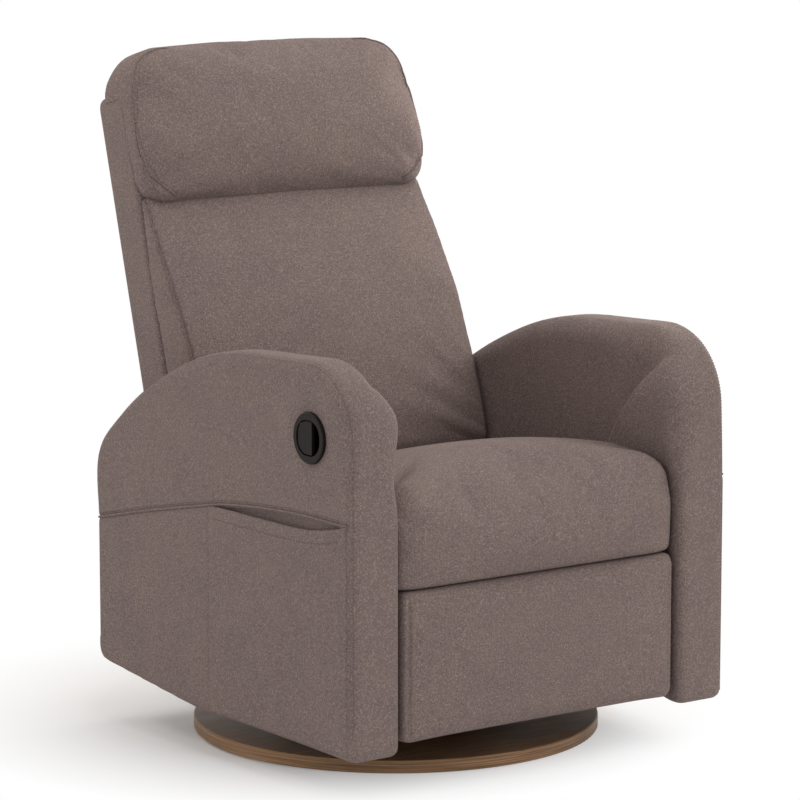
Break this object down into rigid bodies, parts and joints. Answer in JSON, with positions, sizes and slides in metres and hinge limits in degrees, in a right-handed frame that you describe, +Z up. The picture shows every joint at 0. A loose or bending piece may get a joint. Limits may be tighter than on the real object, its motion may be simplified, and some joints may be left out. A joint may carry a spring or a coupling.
{
  "type": "swivel rocker recliner",
  "caption": "Upholstered recliner that swivels and rocks on a round wooden base, with padded arms, side pockets, a pull handle, a folding footrest and a reclining back.",
  "frame": {"origin": "on the floor under the swivel bolt, at the middle of the centre glide's foot", "axes": "+Z up along the swivel axis, the chair faces -Y, the sitter's left is +X"},
  "size_m": [0.703, 0.7923, 1.0283],
  "materials": {
    "upholstery_fabric": "heather weave",
    "walnut_ply": "satin lacquer, ply edge",
    "frame_wood": "sawn",
    "glide_felt": "matte",
    "steel": "zinc plated",
    "black_steel": "powder coated",
    "black_plastic": "satin moulded",
    "cable_sheath": "matte",
    "webbing": "woven strap"
  },
  "bodies": {
    "base": {"base_disc": "walnut_ply", "floor_glides": "glide_felt", "lower_swivel_plate": "steel", "swivel_balls": "steel", "swivel_bolt": "steel", "plate_screws": "steel"},
    "turntable": {"upper_swivel_plate": "black_steel", "rocker_ears": "black_steel", "rocker_shaft": "steel", "rocker_springs_front": "steel", "rocker_springs_rear": "steel"},
    "chassis": {"bearing_blocks": "black_steel", "chassis_rails": "black_steel", "front_cross_tube": "black_steel", "rear_cross_tube": "black_steel", "rear_skirt": "upholstery_fabric", "seat_tracks": "black_steel", "handle_surround": "black_plastic", "latch_box": "black_steel", "release_cable": "cable_sheath", "paddle_pin": "steel", "arm_inner_panels": "frame_wood", "arm_outer_panels": "frame_wood", "arm_front_posts": "frame_wood", "arm_rear_posts": "frame_wood", "arm_cover_left": "upholstery_fabric", "arm_cover_right": "upholstery_fabric", "side_pocket_left": "upholstery_fabric", "side_pocket_right": "upholstery_fabric"},
    "paddle": {"release_paddle": "black_plastic"},
    "seat": {"seat_plate_left": "black_steel", "seat_plate_right": "black_steel", "seat_runners": "steel", "front_seat_rail": "frame_wood", "rear_seat_rail": "frame_wood", "seat_webbing": "webbing", "seat_cushion": "upholstery_fabric", "link_pivot_bolts": "steel", "back_pivot_bolts": "steel"},
    "front_link_pair": {"front_links": "black_steel", "torque_tube": "black_steel"},
    "rear_link_pair": {"rear_links": "black_steel"},
    "main_link_pair": {"main_links": "black_steel"},
    "footrest_link_pair": {"footrest_links": "black_steel"},
    "footrest": {"footrest_brackets": "black_steel", "footrest_board": "frame_wood", "footrest_pad": "upholstery_fabric"},
    "back": {"back_shell": "upholstery_fabric", "back_posts": "frame_wood", "top_back_rail": "frame_wood", "lower_back_rail": "frame_wood", "back_webbing": "webbing", "back_brackets": "black_steel", "back_cushion": "upholstery_fabric", "head_pillow": "upholstery_fabric"}
  },
  "joints": [
    {"name": "swivel", "type": "hinge", "parent": "base", "child": "turntable", "pos_m": [0, 0, 0.03], "axis": [0, 0, 1], "continuous": true},
    {"name": "rock", "type": "hinge", "parent": "turntable", "child": "chassis", "pos_m": [0, 0, 0.095], "axis": [-1, 0, 0], "range_deg": [-7, 7], "stiffness_Nm_per_rad": 2400, "deforming": ["rocker_springs_front", "rocker_springs_rear"]},
    {"name": "release_pull", "type": "hinge", "parent": "chassis", "child": "paddle", "pos_m": [-0.3498, -0.2505, 0.52], "axis": [0, 0, -1], "range_deg": [0, 30], "stiffness_Nm_per_rad": 0.4},
    {"name": "seat_slide", "type": "slide", "parent": "chassis", "child": "seat", "axis": [0, -1, 0], "range_m": [0, 0.06]},
    {"name": "back_recline", "type": "hinge", "parent": "seat", "child": "back", "pos_m": [0, 0.19, 0.33], "axis": [-1, 0, 0], "range_deg": [0, 36]},
    {"name": "footrest_extend", "type": "hinge", "parent": "seat", "child": "front_link_pair", "pos_m": [0, -0.16, 0.29], "axis": [-1, 0, 0], "range_deg": [0, 90]},
    {"name": "rear_link_turn", "type": "hinge", "parent": "seat", "child": "rear_link_pair", "pos_m": [0, -0.12476, 0.27108], "axis": [-1, 0, 0], "range_deg": [0, 90]},
    {"name": "main_link_turn", "type": "hinge", "parent": "front_link_pair", "child": "main_link_pair", "pos_m": [0, -0.0525, 0.1038], "axis": [-1, 0, 0], "range_deg": [-90, 0]},
    {"name": "footrest_link_turn", "type": "hinge", "parent": "front_link_pair", "child": "footrest_link_pair", "pos_m": [0, -0.08, 0.15144], "axis": [-1, 0, 0], "range_deg": [-90, 0]},
    {"name": "footrest_turn", "type": "hinge", "parent": "main_link_pair", "child": "footrest", "pos_m": [0, -0.282, 0.227], "axis": [-1, 0, 0], "range_deg": [0, 90]}
  ],
  "couplings": [
    {"joint": "seat_slide", "follows": "back_recline", "m_per_rad": 0.095492},
    {"joint": "rear_link_turn", "follows": "footrest_extend", "ratio": 1},
    {"joint": "main_link_turn", "follows": "footrest_extend", "ratio": -1},
    {"joint": "footrest_link_turn", "follows": "footrest_extend", "ratio": -1},
    {"joint": "footrest_turn", "follows": "footrest_extend", "ratio": 1}
  ]
}
